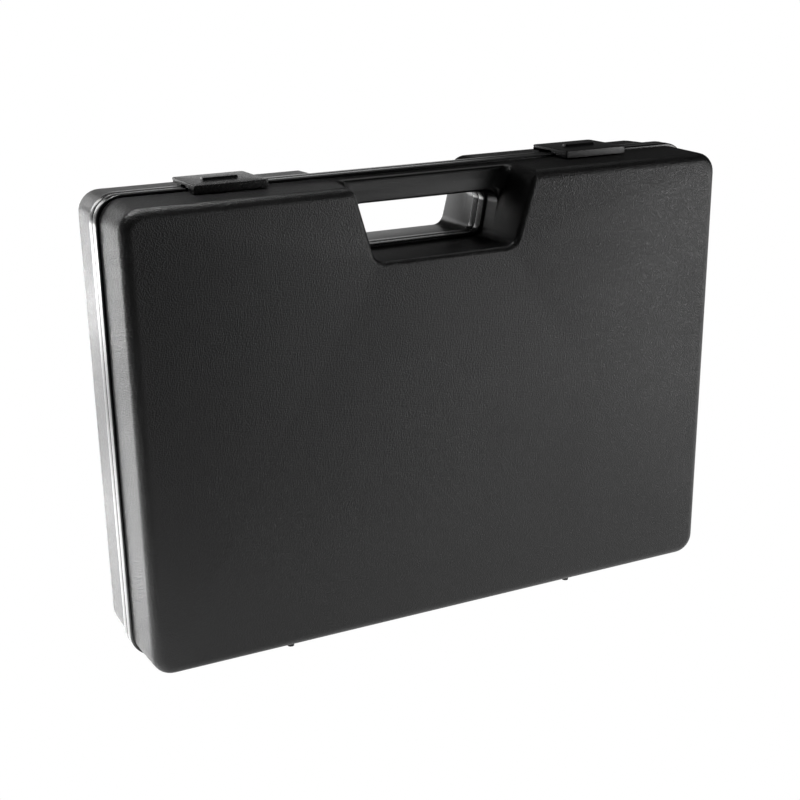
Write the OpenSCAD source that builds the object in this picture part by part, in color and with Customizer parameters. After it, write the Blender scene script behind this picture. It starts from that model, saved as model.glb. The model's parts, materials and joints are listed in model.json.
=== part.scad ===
// Hard tool case: two deep moulded half shells hinged along the bottom edge, with a carrying
// handle moulded into the top and two slide latches on the closing edge.
// Units are millimetres. The case stands upright on its feet: +Z is up, -Y is the lid's face,
// the parting plane is Y = 0, and the origin is the centre of the footprint on the ground.

/* [Case] */
// overall width of the closed case, across the rim
case_w = 420; // [320:1:520]
// height of the rim from its bottom edge to its top edge
case_h = 296; // [240:1:380]
// depth of one half shell, from the parting plane to its face
shell_depth = 46.5; // [38:0.5:70]
// wall thickness of the shells
wall = 2.5; // [1.8:0.1:3.5]
// how much further in the walls stand at the face than at the rim, as mould draft
wall_draft = 1.0; // [0.4:0.1:2]
// rounding between the side walls and the face
edge_r = 7; // [4:0.5:10]

/* [Rim] */
// width of the polished rim of one shell, from the parting plane
rim_w = 7.2; // [6:0.1:10]
// how far the rim stands out of the walls
bead_proud = 1.8; // [1:0.1:3]
// rounding of the two long edges of the rim
bead_r = 2.4; // [1:0.1:3]
// radius of the rim's four corners, seen from the front
rim_corner_r = 16.5; // [12:0.5:30]
// gap between the two rims when the case is shut
parting_gap = 0.3; // [0.2:0.05:0.6]
// thickness of the tongue that stands out of the lid's rim
tongue_t = 1.0; // [0.8:0.1:1.4]
// height of the tongue above the parting plane
tongue_h = 1.7; // [1:0.1:2.5]
// clearance round the tongue in the groove of the base's rim
tongue_gap = 0.35; // [0.3:0.05:0.5]
// height of the bottom stretch that has no tongue, so that the hinge can turn
tongue_start = 18; // [14:1:30]
// distance that the tongue stops short of the cut in the rim under each latch slide
tongue_stop = 2; // [1:0.5:6]

/* [Handle] */
// height of the handle bar, from the top wall down to its underside
bar_h = 16; // [12:0.1:22]
// depth of the bar's front face from the parting plane
bar_depth = 18; // [14:0.5:30]
// rounding of the bar's long edges
bar_edge_r = 1.8; // [1:0.1:4]
// radius of the blends between the bar's ends and the walls beside them
bar_blend_r = 7; // [4:0.5:10]
// height of the finger opening at the rim, from its floor to the bar
grip_h = 30.1; // [26:0.1:45]
// width of the opening's floor where it meets the rim
grip_floor_w = 93; // [80:1:120]
// width of the opening under the bar where it meets the rim
grip_bar_w = 104.4; // [86:0.2:130]
// width of the recess's floor at the lid's face
mouth_floor_w = 99; // [86:0.2:130]
// width of the recess at the lid's face, level with the bar's underside
mouth_bar_w = 118; // [100:0.2:150]
// how far the recess's floor falls from the rim to the lid's face
floor_fall = 1.2; // [0:0.1:4]
// width of the recess's floor at the base's face
base_floor_w = 90.4; // [80:0.2:130]
// width of the recess at the base's face, level with the bar's underside
base_bar_w = 106.4; // [90:0.2:150]
// how far the recess's floor falls from the rim to the base's face
base_fall = 0.5; // [0:0.1:4]
// radius of the recess's two lower corners
grip_corner_r = 8; // [5:0.5:12]
// rounding of the recess's edge on the face
mouth_r = 3.4; // [1:0.1:4]
// rounding of the recess's two upper corners on the top wall
crown_r = 7; // [4:0.5:9]
// number of stiffening ribs inside each half of the bar
bar_ribs = 5; // [3:1:9]
// thickness of those ribs
bar_rib_t = 1.6; // [1:0.1:2.5]

/* [Latches] */
// distance of each latch slide's middle from the end of the case
latch_in = 81.5; // [62:0.5:110]
// how far both slides and their rails stand off those places, towards the left
latch_shift = 2.1; // [-4:0.1:4]
// length of a latch slide along the rim
latch_len = 46.5; // [40:0.5:60]
// width of a latch slide across both rims
latch_w = 41.6; // [38:0.2:56]
// thickness of the slide's top plate
latch_plate_t = 1.6; // [1.2:0.1:3]
// thickness of the slide's side skirts
latch_skirt_t = 1.6; // [1.2:0.1:2.5]
// thickness of the lips that hook under the rails
latch_lip_t = 1.5; // [0.8:0.1:2]
// plan radius of the slide's two corners on the base's side
latch_corner_r = 2.6; // [1:0.1:4]
// plan radius of its two corners on the lid's side
latch_front_r = 0.8; // [0.6:0.1:4]
// rounding of the slide's upper edges
latch_edge_r = 0.6; // [0.3:0.1:0.6]
// travel of a slide from released to locked, away from the handle
latch_travel = 12; // [8:0.5:16]
// running clearance between a slide and the rails
slide_gap = 0.3; // [0.25:0.05:0.5]
// end clearance between the slide's hooks and the base's tabs, when released
hook_gap = 0.5; // [0.3:0.1:1]
// how much longer each hook is than the travel, and how much shorter each tab
hook_over = 1; // [0.5:0.5:2]
// thickness of the slide's inner rib, behind the lid's rail
hook_rib_t = 1.4; // [1:0.1:1.6]
// how far the rail stops short of the slide's two ends together
rail_short = 1; // [0.5:0.5:3]
// thickness of the rails' and tabs' flanges
flange_t = 1; // [0.8:0.1:1.6]
// thickness of the upright web under each flange
web_t = 3.5; // [3:0.1:9]
// depth of the web's inner side from the parting plane
web_in = 8; // [7.8:0.1:12]
// distance that each flange reaches past its web, towards the parting plane
flange_in = 3.8; // [3:0.1:6]
// distance that each flange reaches past its web, towards the face
flange_out = 7.3; // [5:0.1:8]
// length of the thumb bar on top of a slide
thumb_len = 23; // [16:1:32]
// width of the thumb bar
thumb_w = 6.5; // [5:0.5:12]
// height of the thumb bar
thumb_h = 1.4; // [0.8:0.1:2.5]
// radius of the peg on the lid's rail that stops the slide at both ends of its travel
stop_peg_r = 1.5; // [1:0.1:2.5]
// height of that peg
stop_peg_h = 0.7; // [0.5:0.1:0.8]

/* [Hinges] */
// distance of each hinge's middle from the end of the case
hinge_in = 80; // [50:1:110]
// length of one hinge
hinge_len = 50; // [30:1:80]
// number of knuckles in a hinge, base and lid in turn
hinge_knuckles = 5; // [3:2:9]
// radius of the knuckles
knuckle_r = 3; // [2.5:0.1:4]
// distance of the hinge axis below the rim's bottom edge
hinge_drop = 2.4; // [2:0.1:4]
// radius of the steel hinge pin
pin_r = 1.25; // [1:0.05:1.6]
// radial clearance of the pin in the lid's knuckles
pin_run = 0.08; // [0.03:0.01:0.1]
// radial interference of the pin in the base's knuckles
pin_press = 0.01; // [0.005:0.005:0.02]
// clearance beside and around a knuckle
knuckle_gap = 0.3; // [0.25:0.05:0.5]

/* [Feet] */
// height of the rim's bottom edge above the ground
foot_h = 6; // [5.8:0.1:9]
// width of one foot
foot_w = 4.5; // [3:0.1:8]
// length of one foot, from the parting side to the face side
foot_len = 14.4; // [8:0.1:20]
// depth of a foot's outer end from the parting plane
foot_out = 28.4; // [22:0.1:36]
// distance of the lid's feet from the ends of the case
foot_in = 102; // [40:1:140]
// how much nearer the ends the base's feet stand, so that they pass the lid's
foot_stagger = 7; // [5:0.5:12]

/* [Hidden] */
$fn = 64;
// number of facets round a hull's own children
hull_fn = 32;
// number of steps in a lofted corner, and in a lofted edge rounding
arc_n = 8;
// small overlap that makes joined solids share volume
eps = 0.05;
// how far a cut runs past the face that it opens
overrun = 0.5;
// how far the recess's cut runs above the case, and the radius of its upper corners there
sky = 12;
sky_r = 3;

// Heights are above the rim's bottom edge, and depths are from the parting plane.
latch_x = [for (shift = [-1, 1] * latch_shift) case_w / 2 - latch_in + shift];
hinge_x = case_w / 2 - hinge_in;
foot_x = case_w / 2 - foot_in;
band_t = bead_proud + wall;
rim_top_wall = case_h - bead_proud;
rim_centre_x = case_w / 2 - rim_corner_r;
rim_centre_top = case_h - rim_corner_r;
face_corner_r = rim_corner_r - bead_proud - wall_draft;
rim_face = parting_gap / 2;
tongue_in = bead_proud + (wall - tongue_t) / 2 - tongue_gap;

bar_y = rim_top_wall - bar_h;
floor_y = bar_y - grip_h;

lip_y = rim_top_wall + slide_gap;
flange_y = lip_y + latch_lip_t + slide_gap;
plate_y = flange_y + flange_t + slide_gap;
latch_top = plate_y + latch_plate_t;
skirt_in = latch_w / 2 - latch_skirt_t;
lip_in = web_in + web_t + hook_gap;
hook_rib_out = web_in - flange_in - slide_gap;
station_len = latch_len + 2 * slide_gap;
tongue_break = station_len + 2 * tongue_stop;
rail_len = latch_len - rail_short;
// two hooks on the slide and two tabs on the base take turns along the slide
hook_len = latch_travel + hook_over;
tab_len = latch_travel - hook_over;
groove_h = stop_peg_h + slide_gap;

hinge_pitch = hinge_len / hinge_knuckles;
ground = -foot_h;

shell_colour = [0.13, 0.13, 0.14];
rim_colour = [0.2, 0.2, 0.21];
latch_colour = [0.17, 0.17, 0.18];
pin_colour = [0.7, 0.71, 0.73];

// ---- frames -------------------------------------------------------------------------------
// Each half is drawn as it lies in its mould: X across, Y up the case, Z from the parting
// plane to the face. lid_place and base_place stand it up in the case's own frame.
module lid_place() {
    translate([0, 0, foot_h])
        rotate([90, 0, 0])
            children();
}

module base_place() {
    mirror([0, 1, 0])
        lid_place()
            children();
}

// ---- outlines and lofts ---------------------------------------------------------------------
function unit(v) = v / norm(v);
function mix(a, b, t) = a + (b - a) * t;
function turn_of(a, b) = atan2(a[0] * b[1] - a[1] * b[0], a * b);

// One corner p of an outline, between its neighbours a and b, as an arc of radius r.
function corner_arc(a, p, b, r) =
    let (
        d1 = unit(p - a),
        d2 = unit(b - p),
        turn = turn_of(d1, d2),
        s = sign(turn),
        back = r * tan(abs(turn) / 2),
        centre = p - d1 * back + s * r * [-d1[1], d1[0]],
        start = atan2(-s * d1[0], s * d1[1])
    )
    [for (k = [0:arc_n])
        centre + r * [cos(start + turn * k / arc_n), sin(start + turn * k / arc_n)]];

function rounded(points, radii) =
    let (n = len(points))
    [for (i = [0:n - 1])
        each corner_arc(points[(i + n - 1) % n], points[i], points[(i + 1) % n], radii[i])];

// A closed solid through rings of equal length; flip turns it right side out.
module loft(rings, flip = false) {
    n = len(rings[0]);
    last = len(rings) - 1;
    sides = [for (i = [0:last - 1], j = [0:n - 1])
        let (k = (j + 1) % n)
        flip ? [i * n + j, i * n + k, (i + 1) * n + k, (i + 1) * n + j]
            : [i * n + j, (i + 1) * n + j, (i + 1) * n + k, i * n + k]];
    low = [for (j = [0:n - 1]) flip ? n - 1 - j : j];
    high = [for (j = [0:n - 1]) last * n + (flip ? j : n - 1 - j)];
    polyhedron(
        points = [for (ring = rings) each ring],
        faces = concat([low], sides, [high]),
        convexity = 8
    );
}

// Sweeps a section along a closed outline with rounded corners. The section's x runs outward
// from the outline and its y is the depth.
module swept_loop(points, radii) {
    n = len(points);
    for (i = [0:n - 1]) {
        p = points[i];
        q = points[(i + 1) % n];
        before = unit(p - points[(i + n - 1) % n]);
        along = unit(q - p);
        after = unit(points[(i + 2) % n] - q);
        turn = turn_of(before, along);
        back = radii[i] * tan(turn / 2);
        back_next = radii[(i + 1) % n] * tan(turn_of(along, after) / 2);
        centre = p - before * back + radii[i] * [-before[1], before[0]];
        run = norm(q - p) - back - back_next;
        translate(centre)
            rotate(atan2(-before[0], before[1]))
                rotate_extrude(angle = turn)
                    translate([radii[i], 0])
                        children();
        translate(p + along * back)
            rotate(atan2(-along[0], along[1]))
                translate([0, run, 0])
                    rotate([90, 0, 0])
                        linear_extrude(run)
                            children();
    }
}

// ---- finger opening and handle recess -------------------------------------------------------
// The walls of the opening lean out towards the top, and further out towards the face.
function depth_share(d) = (d - rim_w) / (shell_depth - rim_w);
// A mouth is one half's recess at its face: floor width, width at the bar, fall of the floor.
lid_mouth = [mouth_floor_w, mouth_bar_w, floor_fall];
base_mouth = [base_floor_w, base_bar_w, base_fall];
function floor_at(m, d) = floor_y - m[2] * depth_share(d);
function half_floor(m, d) = mix(grip_floor_w, m[0], depth_share(d)) / 2;
function half_bar(m, d) = mix(grip_bar_w, m[1], depth_share(d)) / 2;
function lean(m, d) = (half_bar(m, d) - half_floor(m, d)) / (bar_y - floor_at(m, d));
function half_at(m, d, y) = half_floor(m, d) + lean(m, d) * (y - floor_at(m, d));
function wall_top(d) = rim_top_wall - wall_draft * depth_share(d);

// Outline at one depth: grow widens it all round, lift raises its top, and air opens the top.
function grip_outline(m, d, grow, lift, air) =
    let (
        low = floor_at(m, d) - grow,
        high = air ? case_h + sky : bar_y + lift,
        a = half_at(m, d, low) + grow,
        b = half_at(m, d, high) + grow,
        top_r = air ? sky_r : bar_blend_r + min(lift, wall)
    )
    rounded(
        [[-a, low], [a, low], [b, high], [-b, high]],
        [grip_corner_r + grow, grip_corner_r + grow, top_r, top_r]
    );

function at_depth(outline, d) = [for (p = outline) [p[0], p[1], d]];
function at_height(outline, y) = [for (p = outline) [p[0], y, p[1]]];

// angles along a rounded edge, stopping short of the tangent so that it cuts the face cleanly
edge_steps = [0, 20, 40, 60, 80];
edge_end = tan(80);

// The opening below the bar and the recess in front of it, as one cut.
module grip_cut(m) {
    bar_in = bar_depth - bar_edge_r;
    mouth_in = shell_depth - mouth_r;
    last_lift = bar_edge_r * (1 - cos(80)) + (bar_edge_r * (1 - sin(80)) + eps) * edge_end;
    last_grow = mouth_r * (1 - cos(80)) + (mouth_r * (1 - sin(80)) + overrun) * edge_end;
    loft(concat(
        [at_depth(grip_outline(m, rim_w - overrun, 0, 0, false), rim_w - overrun)],
        [for (a = edge_steps)
            let (d = bar_in + bar_edge_r * sin(a))
            at_depth(grip_outline(m, d, 0, bar_edge_r * (1 - cos(a)), false), d)],
        [at_depth(grip_outline(m, bar_depth + eps, 0, last_lift, false), bar_depth + eps)],
        [at_depth(grip_outline(m, bar_depth + 2 * eps, 0, 0, true), bar_depth + 2 * eps)],
        [for (a = edge_steps)
            let (d = mouth_in + mouth_r * sin(a))
            at_depth(grip_outline(m, d, mouth_r * (1 - cos(a)), 0, true), d)],
        [at_depth(
            grip_outline(m, shell_depth + overrun, last_grow, 0, true),
            shell_depth + overrun
        )]
    ));
}

// The same shape one wall thickness larger, for the inside of the shell.
module grip_core(m) {
    start = rim_w - overrun;
    step = bar_depth - wall;
    end = shell_depth + overrun;
    loft([
        at_depth(grip_outline(m, start, wall, wall, false), start),
        at_depth(grip_outline(m, step, wall, wall, false), step),
        at_depth(grip_outline(m, step + eps, wall, 0, true), step + eps),
        at_depth(grip_outline(m, end, wall, 0, true), end)
    ]);
}

// Upright blend of radius r between the bar's front face and the right wall of the recess.
function blend_outline(m, y, r) =
    let (
        near = bar_depth - eps,
        p = [half_at(m, near, y) + eps, near],
        a = [half_at(m, shell_depth, y) + eps, shell_depth],
        arc = corner_arc(a, p, [0, near], r)
    )
    concat(arc, [p + [wall / 2, -wall / 2]]);

// Below the bar it runs out along the round end of the finger opening.
module bar_blend(m) {
    round_r = bar_blend_r + bar_edge_r;
    low = bar_y + bar_edge_r;
    high = wall_top(bar_depth + bar_blend_r);
    loft(concat(
        [for (share = [0.8, 0.6, 0.4, 0.2, 0.08])
            let (
                drop = share * round_r,
                reach = round_r - sqrt(round_r * round_r - (round_r - drop) * (round_r - drop))
            )
            at_height(blend_outline(m, low - drop, min(reach, bar_blend_r)), low - drop)],
        [for (y = [low, high]) at_height(blend_outline(m, y, bar_blend_r), y)]
    ), true);
}

// Distance that a rounding of radius r below a surface at height top has moved out at y.
function rounding(y, top, r) =
    let (
        stop = top - 0.25,
        u = max(min(y, stop) - (top - r), 0),
        reach = sqrt(r * r - u * u)
    )
    r - reach + max(y - stop, 0) * u / reach - (y < top - r ? eps : 0);

// Rounds the edge of the recess where it comes through the top wall.
module crown_cut(m) {
    far = shell_depth + 1;
    side_top = wall_top(mix(bar_depth, shell_depth, 0.5));
    bar_top = wall_top(bar_depth);
    start = bar_top - crown_r - 0.5;
    steps = 14;
    levels = [for (k = [0:steps]) mix(start, bar_top + 0.6, sin(90 * k / steps))];
    loft([for (y = levels)
        let (
            side = rounding(y, side_top, crown_r),
            near = bar_depth - rounding(y, bar_top, bar_edge_r),
            a = half_at(m, far, y) + side,
            b = half_at(m, near, y) + side,
            outline = rounded(
                [[-a, far], [-b, near], [b, near], [a, far]],
                [1, bar_blend_r, bar_blend_r, 1]
            )
        )
        at_height(outline, y)], true);
}

// ---- shells -----------------------------------------------------------------------------------
// Round corner column from low up to high, with a rounded upper edge.
module puck(foot_r, r, edge, low, high) {
    translate([0, 0, low])
        cylinder(r = foot_r, h = eps, $fn = hull_fn);
    translate([0, 0, high - edge])
        rotate_extrude($fn = hull_fn)
            intersection() {
                translate([r - edge, 0])
                    circle(r = edge, $fn = hull_fn);
                translate([0, -edge])
                    square([r, 2 * edge]);
            }
}

// Rounded slab whose corner radius is r at the rim and face_r at the face. Its face stands at
// top, and edge rounds it off.
module slab(r, face_r, edge, top) {
    hull()
        for (x = [-rim_centre_x, rim_centre_x], y = [rim_corner_r, rim_centre_top])
            translate([x, y, 0])
                puck(r, face_r, edge, rim_w, top);
}

module shell_hollow(m) {
    translate([0, 0, -eps])
        difference() {
            slab(
                rim_corner_r - band_t,
                face_corner_r - wall,
                edge_r - wall,
                shell_depth - wall + eps
            );
            grip_core(m);
        }
}

module bar_inner_ribs() {
    pitch = grip_floor_w / (bar_ribs + 1);
    low = bar_y + wall - eps;
    for (k = [1:bar_ribs])
        translate([k * pitch - grip_floor_w / 2 - bar_rib_t / 2, low, rim_w])
            cube([bar_rib_t, bar_h - 2 * wall + 2 * eps, bar_depth - wall / 2 - rim_w]);
}

// A foot stands down from the bottom wall at x.
module foot(x) {
    root = bead_proud + wall / 2 + wall_draft;
    r = foot_w / 2;
    translate([x, root, foot_out - r])
        rotate([90, 0, 0])
            linear_extrude(root - ground) {
                circle(r);
                translate([-r, r - foot_len + r])
                    square([foot_w, foot_len - foot_w]);
                translate([0, foot_w - foot_len])
                    circle(r);
            }
}

module shell_half(m, feet_x) {
    difference() {
        union() {
            difference() {
                slab(rim_corner_r - bead_proud, face_corner_r, edge_r, shell_depth);
                grip_cut(m);
            }
            for (side = [0, 1])
                mirror([side, 0, 0])
                    bar_blend(m);
        }
        crown_cut(m);
        shell_hollow(m);
    }
    bar_inner_ribs();
    for (side = [-1, 1])
        foot(side * feet_x);
}

// ---- latch rails --------------------------------------------------------------------------------
// One stretch of rail at x, standing on the top wall: an upright web with a flange both ways.
module rail(x, length) {
    root = wall_top(web_in + web_t) - wall / 2;
    translate([x, root, web_in])
        cube([length, flange_y - root + eps, web_t]);
    translate([x, flange_y, web_in - flange_in])
        cube([length, flange_t, flange_in + web_t + flange_out]);
}

// The lid's rail runs the whole length of the slide and carries the stop peg.
module lid_rail() {
    rail(-rail_len / 2, rail_len);
    translate([latch_travel / 2, flange_y + flange_t - eps, web_in + web_t / 2])
        rotate([-90, 0, 0])
            cylinder(r = stop_peg_r, h = stop_peg_h + eps);
}

// The base's rail is two tabs, with room between them for the slide's hooks.
module base_tabs() {
    first = hook_len - latch_len / 2 + hook_gap;
    second = first + tab_len + 2 * hook_gap + hook_len;
    rail(first, tab_len);
    rail(second, min(tab_len, rail_len / 2 - second));
}

// Places something at one latch, 0 right or 1 left, so that away from the handle is +X in it.
module at_latch(side) {
    mirror([side, 0, 0])
        translate([latch_x[side], 0, 0])
            children();
}

module at_latches() {
    for (side = [0, 1])
        at_latch(side)
            children();
}

// ---- rims -----------------------------------------------------------------------------------------
rim_outline = [
    [-case_w / 2, 0],
    [case_w / 2, 0],
    [case_w / 2, case_h],
    [-case_w / 2, case_h]
];
rim_radii = [for (i = [0:3]) rim_corner_r];

// Half of the rim's section: x from the crest of the bead into the wall, y the depth.
module bead_section() {
    translate([bead_r, rim_face])
        square([band_t - bead_r, rim_w - rim_face]);
    translate([0, rim_face + bead_r])
        square([bead_r + eps, rim_w - rim_face - 2 * bead_r]);
    translate([bead_proud, rim_w - bead_r])
        square([wall, bead_r]);
    for (y = [rim_face + bead_r, rim_w - bead_r])
        translate([bead_r, y])
            circle(bead_r);
}

module outer_band() {
    swept_loop(rim_outline, rim_radii)
        mirror([1, 0])
            bead_section();
}

// Distance of the bead's surface below its crest, at angle a round its edge.
function bead_sink(a) = bead_r * (1 - cos(a));

function band_outline(sink) =
    grip_outline(lid_mouth, rim_w, sink - bead_proud, sink - bead_proud, false);

// The same bead round the finger opening, lofted because the opening's sides lean.
module grip_band() {
    end_sink = bead_sink(80) + (bead_r * (1 - sin(80)) + overrun) * edge_end;
    near = rim_face + bead_r;
    far = rim_w - bead_r;
    difference() {
        translate([0, 0, rim_face])
            linear_extrude(rim_w - rim_face)
                polygon(grip_outline(lid_mouth, rim_w, wall, wall, false));
        loft(concat(
            [at_depth(band_outline(end_sink), rim_face - overrun)],
            [for (k = [len(edge_steps) - 1:-1:0])
                let (a = edge_steps[k])
                at_depth(band_outline(bead_sink(a)), near - bead_r * sin(a))],
            [for (a = edge_steps)
                at_depth(band_outline(min(bead_sink(a), bead_proud)), far + bead_r * sin(a))],
            [at_depth(band_outline(bead_proud), rim_w + overrun)]
        ));
    }
}

// Tongue or groove along the sides and top: grow widens it, and it stops short of the latches.
module tongue_loop(grow, from, to) {
    difference() {
        swept_loop(rim_outline, rim_radii)
            translate([-tongue_in - tongue_gap - tongue_t - grow, from])
                square([tongue_t + 2 * grow, to - from]);
        translate([-case_w, -case_h, -shell_depth])
            cube([2 * case_w, case_h + tongue_start - grow, 2 * shell_depth]);
        at_latches()
            translate([grow - tongue_break / 2, case_h / 2, -shell_depth])
                cube([tongue_break - 2 * grow, case_h, 2 * shell_depth]);
    }
}

// Under each latch slide the rim is cut down to the level of the top wall.
module latch_stations() {
    at_latches()
        translate([-station_len / 2, rim_top_wall, -shell_depth])
            cube([station_len, case_h, 2 * shell_depth]);
}

// ---- hinges ---------------------------------------------------------------------------------------
module at_hinges() {
    for (side = [0, 1])
        mirror([side, 0, 0])
            translate([hinge_x, -hinge_drop, 0])
                children();
}

module along_hinge(r, length) {
    rotate([0, 90, 0])
        cylinder(r = r, h = length);
}

// Every second knuckle, starting at first; each stands on a web under its own rim.
module knuckles(first) {
    for (k = [first:2:hinge_knuckles - 1])
        translate([(k - hinge_knuckles / 2) * hinge_pitch + knuckle_gap / 2, 0, 0]) {
            along_hinge(knuckle_r, hinge_pitch - knuckle_gap);
            translate([0, 0, rim_face])
                cube([hinge_pitch - knuckle_gap, hinge_drop + bead_r, knuckle_r - rim_face]);
        }
}

// Room in this rim for the other shell's knuckles.
module knuckle_pockets(first) {
    for (k = [first:2:hinge_knuckles - 1])
        translate([(k - hinge_knuckles / 2) * hinge_pitch - knuckle_gap / 2, 0, 0])
            along_hinge(knuckle_r + knuckle_gap, hinge_pitch + knuckle_gap);
}

module pin_bores(r) {
    translate([-hinge_len / 2 - overrun, 0, 0])
        along_hinge(r, hinge_len + 2 * overrun);
}

module rim_half(first, bore_r) {
    difference() {
        union() {
            difference() {
                union() {
                    outer_band();
                    grip_band();
                }
                latch_stations();
                at_hinges()
                    knuckle_pockets(1 - first);
            }
            at_hinges()
                knuckles(first);
        }
        at_hinges()
            pin_bores(bore_r);
    }
}

// ---- sub-parts --------------------------------------------------------------------------------------
// Lid: the half that swings down, with the rails that carry the latch slides.
module front_shell() {
    color(shell_colour)
        lid_place() {
            shell_half(lid_mouth, foot_x);
            at_latches()
                lid_rail();
        }
}

// Base: the half that the lid swings from, with the tabs that the slides hook under.
module rear_shell() {
    color(shell_colour)
        base_place() {
            shell_half(base_mouth, foot_x + foot_stagger);
            at_latches()
                base_tabs();
        }
}

// Polished rim of the lid, with its tongue and its hinge knuckles.
module front_rim() {
    color(rim_colour)
        lid_place() {
            rim_half(1, pin_r + pin_run);
            tongue_loop(0, -tongue_h, rim_face + eps);
        }
}

// Polished rim of the base, with its groove and its hinge knuckles.
module rear_rim() {
    color(rim_colour)
        base_place()
            difference() {
                rim_half(0, pin_r - pin_press);
                tongue_loop(tongue_gap, -1, tongue_h + tongue_gap);
            }
}

// Outer block of a slide, with rounded upper edges.
module slide_block() {
    hull()
        for (side = [-1, 1], end = [-1, 1]) {
            r = side > 0 ? latch_front_r : latch_corner_r;
            translate([end * (latch_len / 2 - r), lip_y, side * (latch_w / 2 - r)])
                rotate([-90, 0, 0])
                    puck(r, r, latch_edge_r, 0, latch_top - lip_y);
        }
}

module slide_lip(from, length, near, far) {
    translate([from, lip_y, near])
        cube([length, latch_lip_t, far - near]);
}

// A latch slide: a C section on the lid's rail, with two hooks behind for the base's tabs.
module latch_slide() {
    half = latch_len / 2;
    window = tab_len + 2 * hook_gap;
    difference() {
        slide_block();
        translate([-latch_len, lip_y - overrun, -skirt_in])
            cube([2 * latch_len, plate_y - lip_y + overrun, 2 * skirt_in]);
        // windows between the hooks let the base's tabs out
        translate([hook_len - half, lip_y - overrun, -latch_w])
            cube([window, plate_y - lip_y + overrun, latch_w]);
        translate([2 * hook_len + window - half, lip_y - overrun, -latch_w])
            cube([latch_len, plate_y - lip_y + overrun, latch_w]);
        // blind groove for the stop peg
        translate([latch_travel / 2, plate_y - overrun, web_in + web_t / 2])
            rotate([-90, 0, 0])
                linear_extrude(groove_h - slide_gap + overrun) {
                    r = stop_peg_r + slide_gap;
                    circle(r);
                    translate([-latch_travel, -r])
                        square([latch_travel, 2 * r]);
                    translate([-latch_travel, 0])
                        circle(r);
                }
    }
    // lip under the front flange, and the rib and lip behind it
    slide_lip(-half, latch_len, lip_in, skirt_in + eps);
    slide_lip(-rail_len / 2, rail_len - latch_travel, hook_rib_out - eps, web_in - hook_gap);
    translate([-rail_len / 2, lip_y, hook_rib_out - hook_rib_t])
        cube([rail_len - latch_travel, plate_y - lip_y + eps, hook_rib_t]);
    // the two hooks
    for (k = [0, 1])
        slide_lip(
            k * (hook_len + window) - half,
            hook_len,
            -skirt_in - eps,
            -lip_in
        );
    thumb_bar();
}

// Raised grip with sloping sides on top of the slide.
module thumb_bar() {
    slope = thumb_h / 2;
    hull()
        for (
            x = [-1, 1] * (thumb_len / 2 - slope - 1),
            z = [-1, 1] * (thumb_w / 2 - slope - 1)
        )
            translate([x, latch_top - eps, z])
                rotate([-90, 0, 0])
                    cylinder(r1 = slope + 1, r2 = 1, h = thumb_h + eps, $fn = hull_fn);
}

module latch_left() {
    color(latch_colour)
        lid_place()
            at_latch(1)
                latch_slide();
}

module latch_right() {
    color(latch_colour)
        lid_place()
            at_latch(0)
                latch_slide();
}

// Steel pin, pressed into the base's knuckles; the lid's knuckles turn on it.
module hinge_pin(side) {
    color(pin_colour)
        translate([side * hinge_x - hinge_len / 2 + knuckle_gap, 0, foot_h - hinge_drop])
            along_hinge(pin_r, hinge_len - 2 * knuckle_gap);
}

module hinge_pin_left() {
    hinge_pin(-1);
}

module hinge_pin_right() {
    hinge_pin(1);
}

front_shell();
front_rim();
rear_shell();
rear_rim();
latch_left();
latch_right();
hinge_pin_left();
hinge_pin_right();
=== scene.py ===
"""Dresses the hard tool case: grained shells, polished rims, latch slides and steel pins.

The CAD nodes keep their shapes and get smooth shading and materials. Eight polished bands, made
here, lie over the beads of both rims. A studio repeats the photograph's camera and light.
"""

import json
import logging
import math
from dataclasses import dataclass
from enum import Enum

import bmesh
import bpy
from mathutils import Matrix, Vector

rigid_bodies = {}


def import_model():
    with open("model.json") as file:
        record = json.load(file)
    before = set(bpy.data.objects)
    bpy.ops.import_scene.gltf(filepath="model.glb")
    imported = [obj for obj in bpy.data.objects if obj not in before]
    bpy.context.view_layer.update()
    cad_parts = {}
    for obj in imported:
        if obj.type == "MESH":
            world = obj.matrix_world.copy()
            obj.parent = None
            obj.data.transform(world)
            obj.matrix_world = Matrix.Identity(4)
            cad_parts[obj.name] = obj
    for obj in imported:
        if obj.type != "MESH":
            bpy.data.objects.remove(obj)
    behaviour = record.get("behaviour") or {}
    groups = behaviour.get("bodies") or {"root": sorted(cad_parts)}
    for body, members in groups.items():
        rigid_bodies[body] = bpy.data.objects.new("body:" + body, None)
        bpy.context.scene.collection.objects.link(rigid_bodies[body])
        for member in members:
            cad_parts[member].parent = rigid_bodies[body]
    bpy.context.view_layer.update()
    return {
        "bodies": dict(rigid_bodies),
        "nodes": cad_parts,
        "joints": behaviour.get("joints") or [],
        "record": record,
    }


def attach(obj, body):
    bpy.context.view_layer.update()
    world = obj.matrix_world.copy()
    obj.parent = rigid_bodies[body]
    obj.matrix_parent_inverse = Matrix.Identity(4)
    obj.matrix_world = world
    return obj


LOG = logging.getLogger("tool_case")
# Metres in a millimetre.
MM = 0.001
# Side of the photograph and of the picture, in pixels.
IMAGE_SIDE = 800
WHITE = (1.0, 1.0, 1.0, 1.0)
# Edges of the pieces made here that turn by more than this stay sharp.
SHARP_EDGE_DEG = 32.0


class Body(str, Enum):
    """The bodies that the bands ride on, by the names that the frame gives them."""

    BASE = "base"
    LID = "lid"


class Slot(str, Enum):
    """The record's material slots."""

    LID_SHELL = "lid_shell"
    BASE_SHELL = "base_shell"
    LID_RIM = "lid_rim"
    BASE_RIM = "base_rim"
    LATCHES = "latches"
    PINS = "pins"


# ---- finishes -------------------------------------------------------------------------------


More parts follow.
